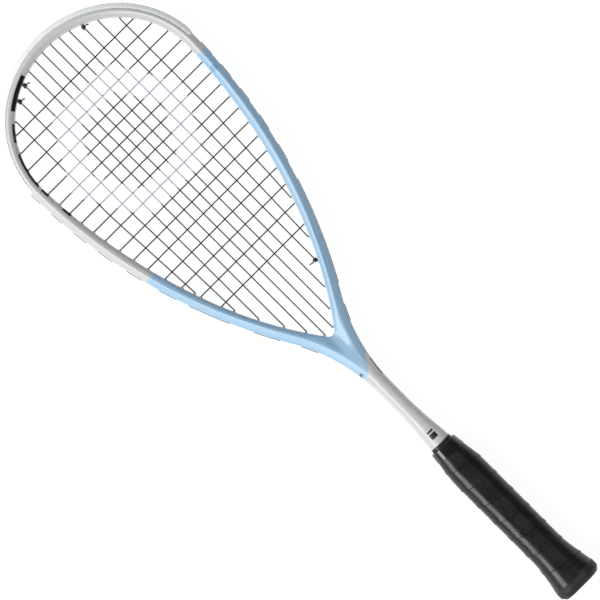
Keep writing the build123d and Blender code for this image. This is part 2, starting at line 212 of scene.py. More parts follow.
def tube(grid):
    """Points and faces of a closed tube with end caps, through (rows, columns, 3) points."""
    rows, columns = grid.shape[:2]
    faces = grid_faces(rows, columns)
    last = (rows - 1) * columns
    faces += [tuple(range(columns)), tuple(last + c for c in reversed(range(columns)))]
    return grid.reshape(-1, 3), faces


def closed_band(grid):
    """Points and faces of a hoop-shaped solid, whose last row of points meets its first."""
    return grid.reshape(-1, 3), grid_faces(*grid.shape[:2], ring=True)


def merged(parts):
    """One list of points and faces from several, each a pair of the two."""
    verts, faces = [], []
    for points, polygons in parts:
        faces += [tuple(len(verts) + i for i in polygon) for polygon in polygons]
        verts += list(points)
    return verts, faces


def subdivide(obj, levels):
    modifier = obj.modifiers.new("subdivision", "SUBSURF")
    modifier.levels = modifier.render_levels = levels
    return obj


def piece(obj, slot, *nodes):
    """Every piece rides on the one body, and stands for the CAD nodes that it shows better."""
    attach(obj, "root")
    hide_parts(*nodes)
    return obj


# ---- material nodes

class Field:
    """A number that a material works out at each point, with the usual arithmetic."""

    def __init__(self, tree, socket):
        self.tree, self.socket = tree, socket

    def math(self, kind, *others):
        node = self.tree.nodes.new("ShaderNodeMath")
        node.operation = kind
        for place, value in enumerate((self, *others)):
            if isinstance(value, Field):
                self.tree.links.new(value.socket, node.inputs[place])
            else:
                node.inputs[place].default_value = value
        return Field(self.tree, node.outputs[0])

    def __add__(self, other):
        return self.math("ADD", other)

    def __sub__(self, other):
        return self.math("SUBTRACT", other)

    def __mul__(self, other):
        return self.math("MULTIPLY", other)

    def __or__(self, other):
        return self.math("MAXIMUM", other)

    def size(self):
        return self.math("ABSOLUTE")

    def over(self, level, soft=0.05):
        """1 where the number is above a level, with a soft edge."""
        node = self.tree.nodes.new("ShaderNodeMapRange")
        node.interpolation_type = "SMOOTHSTEP"
        self.tree.links.new(self.socket, node.inputs["Value"])
        edge = [level - soft, level + soft]
        for name, value in zip(("From Min", "From Max"), edge):
            if isinstance(value, Field):
                self.tree.links.new(value.socket, node.inputs[name])
            else:
                node.inputs[name].default_value = value
        return Field(self.tree, node.outputs["Result"])

    def under(self, level, soft=0.05):
        return self.over(level, soft) * -1.0 + 1.0

    def between(self, low, high, soft=0.05):
        return self.over(low, soft) - self.over(high, soft)

    def rescaled(self, low, high, new_low, new_high):
        node = self.tree.nodes.new("ShaderNodeMapRange")
        self.tree.links.new(self.socket, node.inputs["Value"])
        for name, value in zip(("From Min", "From Max", "To Min", "To Max"), (low, high, new_low, new_high)):
            node.inputs[name].default_value = value
        return Field(self.tree, node.outputs["Result"])


class Paint:
    """A material under construction: place in millimetres, noise, colour layers and shader."""

    def __init__(self, name, rough, **sockets):
        self.material = bpy.data.materials.new(name)
        self.material.use_nodes = True
        self.tree = self.material.node_tree
        self.shader = self.tree.nodes["Principled BSDF"]
        self.shader.inputs["Roughness"].default_value = rough
        for label, value in sockets.items():
            self.shader.inputs[label.replace("_", " ")].default_value = value
        coordinates = self.tree.nodes.new("ShaderNodeTexCoord")
        self.place = coordinates.outputs["Object"]
        parts = self.tree.nodes.new("ShaderNodeSeparateXYZ")
        self.tree.links.new(self.place, parts.inputs[0])
        self.x, self.y, self.z = (Field(self.tree, parts.outputs[i]) * (1 / MM) for i in range(3))
        self.z = self.z - STRING_PLANE_Z

    def noise(self, scale, detail=3.0, stretch=(1, 1, 1)):
        """Cloudy noise about 0.5, with some number of features to the metre."""
        mapping = self.tree.nodes.new("ShaderNodeMapping")
        mapping.inputs["Scale"].default_value = stretch
        self.tree.links.new(self.place, mapping.inputs["Vector"])
        node = self.tree.nodes.new("ShaderNodeTexNoise")
        node.inputs["Scale"].default_value = scale
        node.inputs["Detail"].default_value = detail
        self.tree.links.new(mapping.outputs[0], node.inputs["Vector"])
        return Field(self.tree, node.outputs[0])

    def cloud(self, scale, amount=1):
        """Soft mottling between 0 and an amount."""
        return self.noise(scale).rescaled(0.35, 0.65, 0, amount)

    def cells(self, scale):
        """Distance from the middle of small cells, for pebbled grain."""
        node = self.tree.nodes.new("ShaderNodeTexVoronoi")
        node.inputs["Scale"].default_value = scale
        self.tree.links.new(self.place, node.inputs["Vector"])
        return Field(self.tree, node.outputs["Distance"])

    def layers(self, base, *layers):
        """Colours laid over each other: each layer is a colour and the field that says where it is."""
        current = None
        for colour, mask in layers:
            mix = self.tree.nodes.new("ShaderNodeMix")
            mix.data_type = "RGBA"
            self.tree.links.new(mask.socket, mix.inputs["Factor"])
            if current is None:
                mix.inputs["A"].default_value = (*base, 1)
            else:
                self.tree.links.new(current, mix.inputs["A"])
            mix.inputs["B"].default_value = (*colour, 1)
            current = mix.outputs["Result"]
        self.tree.links.new(current, self.shader.inputs["Base Color"])
        return self

    def roughness(self, field):
        self.tree.links.new(field.socket, self.shader.inputs["Roughness"])
        return self

    def bump(self, field, height, strength=1.0):
        """Fine relief that is too small for the mesh, some number of millimetres high."""
        node = self.tree.nodes.new("ShaderNodeBump")
        node.inputs["Distance"].default_value = height * MM
        node.inputs["Strength"].default_value = strength
        self.tree.links.new(field.socket, node.inputs["Height"])
        previous = self.shader.inputs["Normal"].links
        if previous:
            self.tree.links.new(previous[0].from_socket, node.inputs["Normal"])
        self.tree.links.new(node.outputs[0], self.shader.inputs["Normal"])
        return self


GREY = (0.575, 0.575, 0.568)
BLUE = (0.31, 0.52, 0.72)
DEEP_BLUE = (0.17, 0.38, 0.62)
BLACK = (0.004, 0.004, 0.005)
INK = (0.006, 0.006, 0.008)
STENCIL = (0.50, 0.49, 0.59)
WHITE = (0.95, 0.95, 0.955)


# The blue runs down each arm from these heights to a slanting edge on the shaft
BLUE_TOP_LEFT_Y = 120.4
BLUE_TOP_RIGHT_Y = 230.7
BLUE_EDGE_X = (-2.0, 8.4)
BLUE_EDGE_Y = (-77.5, -62.0)
PAINT_EDGE = 0.12
DISC_PLACE = (92.9, 212.0)
DISC_RADIUS_SQUARED = 11.5  # of a soft-edged dot on the right arm
BARS_Y = [(-152.0, -150.2), (-158.6, -153.4)]
BARS_HALF_WIDTH = 3.4
SIDE_LINE_Y = (-85.0, -67.5)
SIDE_LINE_Z = (3.6, 6.2)
SQUARE_PLACE = (-7.4, -73.0)
SQUARE_HALF = (0.5, 1.3)


def frame_paint():
    """Satin lacquer, grey at the tip and on the shaft and blue between, with plain printed marks."""
    paint = Paint("frame_paint", 0.34, Specular_IOR_Level=0.6, Coat_Weight=0.45, Coat_IOR=1.55,
                  Coat_Roughness=0.38)
    x, y = paint.x, paint.y
    right = x.over(0.0, 0.01)
    blue_left = y.under(BLUE_TOP_LEFT_Y, PAINT_EDGE) * x.under(0.0, 0.01)
    blue_right = y.under(BLUE_TOP_RIGHT_Y, PAINT_EDGE) * right
    edge = x.rescaled(*BLUE_EDGE_X, *BLUE_EDGE_Y)
    blue = (blue_left | blue_right) * (y - edge).over(0.0, PAINT_EDGE)
    disc_x, disc_y = (x - DISC_PLACE[0]), (y - DISC_PLACE[1])
    disc = (disc_x * disc_x + disc_y * disc_y).under(DISC_RADIUS_SQUARED, 1.0)
    first_bar, second_bar = (y.between(*ends) for ends in BARS_Y)
    bars = (first_bar + second_bar) * x.size().under(BARS_HALF_WIDTH)
    side_line = y.between(*SIDE_LINE_Y, 0.2) * right * paint.z.size().between(*SIDE_LINE_Z, 0.1)
    square_x, square_y = (x - SQUARE_PLACE[0]).size(), (y - SQUARE_PLACE[1]).size()
    square = (square_x | square_y).between(*SQUARE_HALF, 0.1)
    cloud = paint.cloud(9.0, 0.10)
    speck = paint.noise(900.0, 2.0).between(0.66, 2.0, 0.03) * 0.05
    paint.layers(GREY, (BLUE, blue), (DEEP_BLUE, disc * right), ((0.75, 0.75, 0.76), cloud),
                 ((0.95, 0.95, 0.95), speck), (INK, bars | side_line | square))
    paint.roughness(paint.noise(60.0).rescaled(0.3, 0.7, 0.34, 0.42))
    return paint.bump(paint.noise(1300.0, 2.0), 0.003).material


def moulded(name, rough, base, tint, cloud, relief, height, strength=1.0, **sockets):
    """A mottled surface: two colours, the mottling's scale and amount, and the relief's noise and height."""
    paint = Paint(name, rough, **sockets)
    paint.layers(base, (tint, paint.cloud(*cloud)))
    return paint.bump(paint.noise(*relief), height, strength).material


def bumper_nylon():
    paint = Paint("bumper_nylon", 0.45, Subsurface_Weight=0.08)
    scuff = paint.noise(55.0, 6.0, (1, 1, 5)).between(0.60, 2.0, 0.06) * 0.12
    cloud = paint.noise(12.0).rescaled(0.3, 0.7, 0, 0.3)
    paint.layers(WHITE, ((0.60, 0.60, 0.63), scuff), ((0.88, 0.88, 0.90), cloud))
    paint.roughness(paint.noise(90.0).rescaled(0.3, 0.7, 0.38, 0.52))
    return paint.bump(paint.noise(1800.0, 2.0), 0.005).material


# A plain hexagon outline on the strings: its middle, and the half-widths of its inner and outer edges
STENCIL_PLACE = (-6.0, 221.0)
STENCIL_HALF = (39.0, 61.0)


def string_nylon():
    """Black string with a plain hexagon outline stencilled across the bed in pale ink."""
    paint = Paint("string_nylon", 0.30, Coat_Weight=0.25, Coat_Roughness=0.12)
    x, y = paint.x - STENCIL_PLACE[0], paint.y - STENCIL_PLACE[1]
    along_x = x.size() * cos(radians(30)) + y.size() * 0.5
    hexagon = along_x | y.size()
    ink = hexagon.between(*STENCIL_HALF, 0.5)
    worn = paint.noise(700.0, 4.0).between(-1.0, 0.74, 0.05)
    paint.layers(BLACK, ((0.016, 0.015, 0.017), paint.cloud(40.0)),
                 (STENCIL, ink * worn))
    return paint.bump(paint.noise(2200.0, 2.0), 0.012).material


# Raised plain bars on the grip: their middles, half-size and slant
GRIP_MARKS = [(x, y) for y in (-242.0, -266.0, -289.0) for x in (-5.0, 1.0, 7.0)]
GRIP_MARK_HALF = (1.3, 5.2)
GRIP_MARK_SLANT = 0.35


def grip_leather():
    """Black polyurethane with a soft sheen, faint bars and pebbled grain."""
    paint = Paint("grip_polyurethane", 0.36, Specular_IOR_Level=0.58)
    marks = None
    for middle_x, middle_y in GRIP_MARKS:
        along = paint.y - middle_y
        across = paint.x - middle_x + along * GRIP_MARK_SLANT
        wide, tall = across.size() * (1 / GRIP_MARK_HALF[0]), along.size() * (1 / GRIP_MARK_HALF[1])
        mark = (wide | tall).under(1.0, 0.08)
        marks = mark if marks is None else marks | mark
    cloud = paint.cloud(35.0)
    paint.layers((0.0050, 0.0036, 0.0048), ((0.0085, 0.0056, 0.0080), cloud))
    paint.roughness(paint.noise(55.0, 5.0).rescaled(0.3, 0.7, 0.29, 0.39))
    paint.bump(marks, 0.28)
    paint.bump(paint.noise(75.0, 3.0), 0.7, 0.7)
    paint.bump(paint.cells(1400.0), 0.030, 0.5)
    return paint.bump(paint.noise(240.0, 4.0), 0.05, 0.35).material


def cap_rubber():
    paint = Paint("cap_rubber", 0.55)
    paint.layers((0.010, 0.009, 0.011), ((0.017, 0.015, 0.018), paint.cloud(80.0)))
    paint.roughness(paint.noise(70.0, 5.0).rescaled(0.3, 0.7, 0.48, 0.64))
    return paint.bump(paint.noise(1600.0, 3.0), 0.02).material


def foam_material():
    paint = Paint("handle_foam", 0.8)
    paint.layers((0.014, 0.014, 0.015), ((0.03, 0.03, 0.032), paint.cloud(300.0)))
    return paint.bump(paint.cells(900.0), 0.08).material


def staple_wire():
    paint = Paint("staple_wire", 0.32, Metallic=1.0)
    drawn = paint.noise(900.0, 2.0, (1, 6, 1)).rescaled(0.4, 0.6, 0, 1)
    paint.layers((0.55, 0.55, 0.56), ((0.42, 0.42, 0.43), drawn))
    return paint.bump(paint.noise(1500.0), 0.01).material


def badge_plastic():
    """Satin disc with plain turned rings."""
    paint = Paint("badge_plastic", 0.3)
    radius = (paint.x * paint.x + paint.z * paint.z).math("SQRT")
    rings = (radius * 2.2).math("SINE").rescaled(-1, 1, 0, 1)
    paint.layers((0.012, 0.012, 0.013), ((0.024, 0.024, 0.026), rings))
    return paint.bump(rings, 0.05).material


# ---- frame

RIDGE_Z = 9.22
# Control points of the tube's section, from the groove up over the outer edge to the ridge:
# distance in from the outer wall, and height
OUTER_SIDE = [(1.8, 0.0), (1.8, 1.5), (1.8, 2.1), (1.5, 2.3), (0.4, 2.35), (0.02, 2.6), (0.0, 3.2),
              (0.05, 4.5), (0.4, 5.8), (1.2, 6.75), (2.3, 7.5), (3.4, 8.1), (4.3, 8.72), (5.25, RIDGE_Z)]
GROOVE_POINTS = 6
# From the ridge to the inner edge: share of the way, and the arm's height there
FACET_SHARES = [0.10, 0.24, 0.38, 0.52, 0.66, 0.80, 0.92, 0.985, 1.0]
ARM_Z = [RIDGE_Z, 9.05, 8.72, 8.25, 7.6, 6.72, 5.75, 5.05, 4.4]
LIP_POINTS = 2
WALL_Z = [2.9, 1.2, 0.0]
# The hollow between the arms: its depth by place along Y, and the width of the slopes outside it
HOLLOW = [(-60.0, 0.0), (-52.0, 0.0), (-48.0, 0.35), (-44.0, 1.25), (-40.0, 2.15), (-36.0, 2.7), (-28.0, 3.1)]
HOLLOW_MARGIN = 6.4
HOLLOW_TOP_Y = (-30.0, -12.0)
# The facets turn into the shaft's rounded section between these places
ROUND_Y = (-62.0, -100.0)
SHAFT_ROUNDNESS = 0.86
THROAT_ROWS = 12
HOOP_ROWS = 104
# Ink on the left arm: where each block starts and ends along the inner outline, and its first facet column
INK_BLOCKS = [(31.7, 63.9, 2), (75.3, 92.1, 4), (102.3, 135.9, 4), (139.5, 147.9, 4), (164.7, 173.7, 4)]
ROW_CLEARANCE = 1.2
# Where the throat's rows end on the outer wall, where they are level again, and the rows down the shaft
MEETING_OUT_Y = -54.0
LEVEL_ROWS_Y = -104.0
SHAFT_ROWS = [(-110.0, 22), (-200.0, 23)]


def frame_rows():
    """Inner and outer ends of the tube's cross rows, from the tip down to inside the handle."""
    marks = [mark for start, end, _ in INK_BLOCKS for mark in (start, end)]
    along = lengths(HOOP_IN)
    even = np.linspace(0, along[-1], HOOP_ROWS)
    clear = [place for place in even if min(abs(place - mark) for mark in marks) > ROW_CLEARANCE]
    places = sorted(clear + marks)
    inner = [np.array([np.interp(place, along, HOOP_IN[:, axis]) for axis in range(2)]) for place in places]
    outer = [nearest(OUTER, point) for point in inner]
    outer[0] = OUTER[0]
    bend = resample(INNER[len(HOOP_IN) - 1:], THROAT_ROWS + 1)[1:]
    bend[-1][0] = 0.0
    high, low = outer[-1][1], MEETING_OUT_Y
    for share, point in zip(np.linspace(0, 1, THROAT_ROWS + 1)[1:], bend):
        inner.append(point)
        outer.append(point_at(high + (low - high) * share))
    apex = len(inner) - 1
    gap = inner[-1][1] - low
    start = low
    for end, count in SHAFT_ROWS:
        for y in np.linspace(start, end, count + 1)[1:]:
            tilt = max(0.0, (y - LEVEL_ROWS_Y) / (low - LEVEL_ROWS_Y)) ** 1.6
            outer.append(point_at(y))
            inner.append(np.array([0.0, y + gap * tilt]))
        start = end
    return np.array(inner), np.array(outer), apex


def point_at(y):
    """The point of the outer outline at a place along Y below the middle of the arms."""
    tail = OUTER[OUTER[:, 1] < 60]
    return np.array([np.interp(-y, -tail[:, 1], tail[:, 0]), y])


def hollow_height(x, y):
    """Height of the face between the arms at the throat, which dips below the opening's foot."""
    ys, depths = zip(*HOLLOW)
    edge = max(3.0, point_at(y)[0] - HOLLOW_MARGIN)
    return RIDGE_Z - np.interp(y, ys, depths) * (1 - smooth(abs(x), 0.2 * edge, 0.86 * edge))


def frame_section(start, end, inward, after_apex):
    """Points across the upper half of the tube, from the groove to the middle of the inner wall.

    Towards the shaft the facets round off, and past the apex the two arms are one.
    """
    groove = smooth(end[1], GROOVE_END_Y - 3, GROOVE_END_Y)
    wider = 1 + 0.3 * (1 - smooth(end[1], -20.0, 110.0))
    points = []
    for index, (depth, z) in enumerate(OUTER_SIDE):
        depth *= groove if index < GROOVE_POINTS else wider
        points.append([*(end + inward * depth), z])
    ridge = np.array(points[-1])
    for index, (way, arm_z) in enumerate(zip(FACET_SHARES, ARM_Z)):
        place = ridge[:2] + (start - ridge[:2]) * way
        hollowed = hollow_height(*place)
        lip = max(0, index - len(ARM_Z) + LIP_POINTS + 1)
        if not after_apex:
            hollowed = min(hollowed, ARM_Z[-1 - LIP_POINTS]) if lip == 0 and way > 0.9 else hollowed
            hollowed -= (ARM_Z[-1 - LIP_POINTS] - ARM_Z[index]) if lip else 0
        arm = smooth(place[1], *HOLLOW_TOP_Y)
        points.append([*place, hollowed + (arm_z - hollowed) * arm])
    rounding = 1 - smooth(end[1], ROUND_Y[1], ROUND_Y[0])
    if rounding > 0:
        count = len(points) - 1
        for index, point in enumerate(points):
            angle = pi / 2 * index / count
            wide, high = cos(angle) ** SHAFT_ROUNDNESS, sin(angle) ** SHAFT_ROUNDNESS
            target = np.array([end[0] * wide, end[1] + (start[1] - end[1]) * (1 - wide), RIDGE_Z * high])
            points[index] = point + (target - point) * rounding
    if not after_apex:
        points += [[*start, z] for z in WALL_Z]
    return [np.asarray(p, float) for p in points]


def build_frame():
    """The moulded tube: quads between cross rows, mirrored to both sides and faces, with its ink blocks."""
    inner, outer, apex = frame_rows()
    normals = rightward(OUTER)
    hoop_length = lengths(inner)
    columns = len(OUTER_SIDE) + len(FACET_SHARES)
    verts, starts = [], []
    for row, (start, end) in enumerate(zip(inner, outer)):
        inward = normals[np.argmin(((OUTER - end) ** 2).sum(1))] if row else np.array([0.0, -1.0])
        section = frame_section(start, end, inward, row > apex)
        starts.append(len(verts))
        verts += section
    faces, inked = [], []
    for row in range(len(inner) - 1):
        width = columns + len(WALL_Z) if row < apex else columns
        middle = (hoop_length[row] + hoop_length[row + 1]) / 2
        first = [len(OUTER_SIDE) + skip for start, end, skip in INK_BLOCKS if start < middle < end]
        for c in range(width - 1):
            faces.append((starts[row] + c, starts[row] + c + 1, starts[row + 1] + c + 1, starts[row + 1] + c))
            inked.append(bool(first) and first[0] <= c < columns)
    verts = np.array(verts)
    parts = [(verts * [x, 1, z], faces) for x in (1, -1) for z in (1, -1)]
    end_row = list(range(starts[-1], len(verts)))
    points, polygons = merged(parts)
    quarter = len(verts)
    rim = end_row + [quarter * 2 + i for i in reversed(end_row)]
    rim += [quarter * 3 + i for i in end_row] + [quarter + i for i in reversed(end_row)]
    polygons.append(tuple(rim))
    mesh = bpy.data.meshes.new("frame_tube")
    mesh.from_pydata(in_metres(points).tolist(), [], polygons)
    mesh.materials.append(frame_paint())
    mesh.materials.append(FRAME_INK)
    mesh.polygons.foreach_set("material_index", [0] * 2 * len(faces) + [int(ink) for ink in inked] * 2 + [0])
    clean(mesh)
    smooth_shading(mesh)
    obj = add_to_scene("frame_tube", mesh)
    return piece(subdivide(obj, 2), "frame_paint", "frame")


# ---- holes, strips and bumper

def inset(distance):
    return INNER + rightward(INNER) * distance


class Hole:
    """A string hole: where its string bends in the opening, and its seat in the outer groove."""

    def __init__(self, bend, side, lane, gap):
        self.side, self.lane = side, lane
        seat = nearest(OUTER, bend)
        self.depth = np.linalg.norm(seat - bend) - gap
        self.bend = np.array([side * bend[0], bend[1], lane * LANE])
        self.seat = np.array([side * seat[0], seat[1], lane * LANE])
        self.outward = (self.seat - self.bend) / np.linalg.norm(self.seat - self.bend)


def main_holes(side, xs, top):
    ring = inset(MAIN_INSET)
    widest = np.argmax(ring[:, 0])
    part = ring[:widest + 1] if top else ring[widest:][::-1]
    return [Hole(np.array([x, np.interp(x, part[:, 0], part[:, 1])]), side, 1, MAIN_INSET) for x in xs]


def cross_holes(side):
    ring = inset(CROSS_INSET)[::-1]
    return [Hole(np.array([np.interp(y, ring[:, 1], ring[:, 0]), y]), side, -1, CROSS_INSET) for y in CROSS_Y]


TOP_HOLES = {side: main_holes(side, MAIN_TOP_X, True) for side in (LEFT, RIGHT)}
LOW_HOLES = {side: main_holes(side, MAIN_LOW_X, False) for side in (LEFT, RIGHT)}
CROSS_HOLES = {side: cross_holes(side) for side in (LEFT, RIGHT)}
SHARED = [TOP_HOLES[LEFT][TIE_MAIN], TOP_HOLES[RIGHT][TIE_MAIN], TOP_HOLES[LEFT][START_MAIN],
          LOW_HOLES[RIGHT][TIE_MAIN]]
ALL_HOLES = [hole for group in (TOP_HOLES, LOW_HOLES, CROSS_HOLES) for side in (LEFT, RIGHT)
             for hole in group[side]]


# A barrel's outer and inner radius, and those of one that holds two strings
BARREL_RADII = (1.5, 0.85)
SHARED_RADII = (2.0, 1.4)


def barrel(hole, segments=20):
    """A flared tube through one hole, with a rounded mouth on the opening's side."""
    shared = hole in SHARED
    r, bore = SHARED_RADII if shared else BARREL_RADII
    mouth = hole.depth + BARREL_STAND_OUT
    profile = [(bore + 0.25, 0.95), (bore + 0.03, 1.2), (bore, 2.0), (bore, mouth - 0.3),
               (bore + 0.12, mouth - 0.05), (bore + 0.28, mouth), (r - 0.12, mouth - 0.15),
               (r + 0.05, hole.depth + 0.5), (r + 0.42, hole.depth + 0.08), (r + 0.3, hole.depth - 0.5),
               (r, hole.depth - 1.0), (r, 1.5), (r, 1.0)]
    flat = np.array([hole.outward[0], hole.outward[1], 0.0])
    across = np.array([-flat[1], flat[0], 0.0])
    centre = np.array([hole.seat[0], hole.seat[1], 0.0 if shared else hole.lane * LANE])
    angles = np.linspace(0, 2 * pi, segments, endpoint=False)
    ways = [across * cos(a) + np.array([0, 0, sin(a)]) for a in angles]
    grid = np.array([[centre - flat * depth + radius * way for way in ways] for radius, depth in profile])
    return closed_band(grid)


def outline_rows(low_y, high_y, step):
    """Places on the right outer wall between two heights, with their inward directions."""
    part = OUTER[(OUTER[:, 1] >= low_y) & (OUTER[:, 1] <= high_y)]
    part = resample(part, ceil(lengths(part)[-1] / step))
    return part, rightward(part)


def swept(section, places, inward, side, ease=4.0):
    """A closed section carried along the outer wall. Its ends shrink a little, so that they're rounded."""
    section = np.array(section)
    middle = section.mean(0)
    along = lengths(places)
    grid = []
    for here, place, normal in zip(along, places, inward):
        end = min(here, along[-1] - here)
        share = 1 - 0.45 * max(0.0, 1 - end / ease) ** 2
        points = middle + (section - middle) * share
        grid.append([[side * (place[0] + normal[0] * d), place[1] + normal[1] * d, z] for d, z in points])
    return tube(np.array(grid))


# A grommet strip's section in the groove: distance in from the outer wall, and height
STRIP_SECTION = [(1.1, 1.95), (1.18, 2.2), (1.45, 2.26), (1.72, 2.2), (1.76, 1.9), (1.76, -1.9), (1.72, -2.2),
                 (1.45, -2.26), (1.18, -2.2), (1.1, -1.95), (1.1, 0.0)]


def strip(name, side, low_y, high_y, node):
    """A grommet strip's floor in the groove, with the barrels of its holes."""
    places, inward = outline_rows(low_y, high_y, 2.5)
    holes = [hole for hole in ALL_HOLES if hole.side == side and low_y < hole.seat[1] < high_y]
    parts = [swept(STRIP_SECTION, places, inward, side)] + [barrel(hole) for hole in holes]
    return piece(new_object(name, *merged(parts), GROMMET), "grommet", node)


# The bumper's section over one half: distance in from the bare outer wall, and height
BUMPER_HALF = [(1.12, 0.0), (1.12, 1.1), (0.9, 1.38), (-0.9, 1.42), (-1.55, 1.55), (-1.68, 2.0), (-1.70, 3.4),
               (-1.60, 4.6), (-1.2, 5.9), (-0.4, 6.85), (0.6, 7.5), (1.8, 8.1), (2.7, 8.55), (3.05, 8.5),
               (3.15, 8.1), (2.6, 7.0), (0.9, 5.6), (0.3, 4.0), (0.25, 2.9), (0.7, 2.25), (1.6, 2.2),
               (1.76, 1.9), (1.76, 0.0)]
BUMPER_TAPER = 11.0


def bumper_guard():
    """The guard over the head, thin at both ends, with the upper barrels."""
    right, right_in = outline_rows(BUMPER_END_Y, 400, 3.0)
    flip = np.array([-1, 1])
    places = np.vstack([right[::-1], right[1:] * flip])
    inward = np.vstack([right_in[::-1], right_in[1:] * flip])
    half = BUMPER_HALF
    section = np.array(half + [(d, -z) for d, z in reversed(half[1:-1])])
    flush = np.array([(max(d, 0.15), z * 0.9) for d, z in section])
    along = lengths(places)
    grid = []
    for here, place, normal in zip(along, places, inward):
        end = min(here, along[-1] - here)
        share = 1 - max(0.0, 1 - end / BUMPER_TAPER) ** 2.2
        points = flush + (section - flush) * share
        grid.append([[place[0] + normal[0] * d, place[1] + normal[1] * d, z] for d, z in points])
    shell = subdivide(new_object("bumper_guard_shell", *tube(np.array(grid)), BUMPER), 1)
    holes = [hole for hole in ALL_HOLES if hole.seat[1] > BUMPER_END_Y]
    barrels = new_object("bumper_barrels", *merged([barrel(hole) for hole in holes]), GROMMET)
    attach(barrels, "root")
    return piece(shell, "bumper", "bumper_guard")


# ---- strings

class Route:
    """The points that a string follows, each with how tightly it turns there."""

    def __init__(self):
        self.stops = []

    def add(self, point, ease=0.0):
        self.stops.append((np.asarray(point, float), ease))

    def through(self, hole, outward, lane=None):
        lane = hole.lane if lane is None else lane
        drop = np.array([0, 0, (lane - hole.lane) * LANE])
        stops = [(hole.bend + drop, BEND_EASE), (hole.seat + drop, SEAT_EASE)]
        for point, ease in (stops if outward else reversed(stops)):
            self.add(point, ease)

    def along_groove(self, first, second, lane):
        steps = max(2, round(np.linalg.norm(second.seat - first.seat) / GROOVE_STEP))
        for step in range(1, steps):
            self.add(groove_point(first, second, step / steps, 0.0, lane))

    def curve(self, name):
        """A smooth tube whose spline has the route's points, and more close to its tight turns."""
        controls = []
        for index, (point, ease) in enumerate(self.stops):
            near = []
            for other in (index - 1, index + 1):
                if ease and 0 <= other < len(self.stops):
                    gap = self.stops[other][0] - point
                    near.append(point + gap * min(0.45, ease / np.linalg.norm(gap)))
            controls += near[:1] + [point] + near[1:] if len(near) == 2 else [point]
        return string_tube(name, controls)


def string_tube(name, controls):
    """A round string along a NURBS line with control points in millimetres, as a mesh."""
    curve = bpy.data.curves.new(name + "_line", "CURVE")
    curve.dimensions = "3D"
    curve.bevel_depth = STRING_RADIUS * MM
    curve.bevel_resolution = 3
    curve.use_fill_caps = True
    curve.twist_mode = "MINIMUM"
    spline = curve.splines.new("NURBS")
    spline.points.add(len(controls) - 1)
    points = in_metres(controls)
    spline.points.foreach_set("co", np.hstack([points, np.ones((len(points), 1))]).ravel())
    spline.order_u = 3
    spline.use_endpoint_u = True
    spline.resolution_u = 4
    line = add_to_scene(name + "_line", curve)
    mesh = bpy.data.meshes.new_from_object(line.evaluated_get(bpy.context.evaluated_depsgraph_get()))
    bpy.data.objects.remove(line)
    bpy.data.curves.remove(curve)
    mesh.name = name
    mesh.materials.clear()
    mesh.materials.append(STRING)
    smooth_shading(mesh)
    return add_to_scene(name, mesh)


def groove_point(first, second, share, rise, lane):
    """A point over the outer wall, part of the way between two holes on the same side."""
    chord = first.seat * (1 - share) + second.seat * share
    outward = first.outward * (1 - share) + second.outward * share
    outward = outward / np.linalg.norm(outward)
    side = 1 if chord[0] >= 0 else -1
    place = nearest(OUTER, np.array([abs(chord[0]), chord[1]]))
    return np.array([side * place[0], place[1], lane * LANE]) + outward * rise


def main_x(side, index, y):
    lean = max(0, MAIN_BEND_Y - y) / (MAIN_BEND_Y - LOW_HOLES[side][index].bend[1])
    return side * (MAIN_TOP_X[index] - lean * (MAIN_TOP_X[index] - MAIN_LOW_X[index]))


def crossings(side, index):
    """Where an upright string meets the level ones, from the tip down."""
    found = []
    for row, y in enumerate(CROSS_Y):
        x = main_x(side, index, y)
        if y > LOW_HOLES[side][index].bend[1] and abs(x) < CROSS_HOLES[RIGHT][row].bend[0]:
            above = 1 if (side * (index + 0.5) + 5.5 + row) % 2 == 0 else -1
            found.append((row, np.array([x, y, above * WEAVE_HEIGHT])))
    return found


def main_run(route, side, index, downward):
    points = [point for _, point in crossings(side, index)]
    for point in (points if downward else reversed(points)):
        route.add(point)


def cross_run(route, row, rightwards):
    points = [point * [1, 1, -1] for side in (LEFT, RIGHT) for index in range(UPRIGHTS_A_SIDE)
              for found, point in crossings(side, index) if found == row]
    for point in sorted(points, key=lambda place: place[0] if rightwards else -place[0]):
        route.add(point)


def tie_route(route, side, leaving):
    """From the tie-off hole, over the next hole, to the outermost upright's hole, or back."""
    tie, between, last = TOP_HOLES[side][TIE_MAIN:]
    stops = [groove_point(tie, between, 0.5, 0.6, -1), between.seat + between.outward * 1.35,
             groove_point(between, last, 0.5, 0.6, 1)]
    for point in (stops if leaving else reversed(stops)):
        route.add(point)


# A knot's first turn is this far along its string from the bend in the hole
KNOT_START = -0.4
KNOT_TURNS = 2.9
KNOT_PITCH = 1.24
KNOT_RADIUS = 1.42


def knot_end(hole, toward):
    """Where a tied string goes into its knot, beside the string that shares its hole."""
    return hole.bend + np.array([0, toward * (KNOT_START + 0.3), -LANE - KNOT_RADIUS])


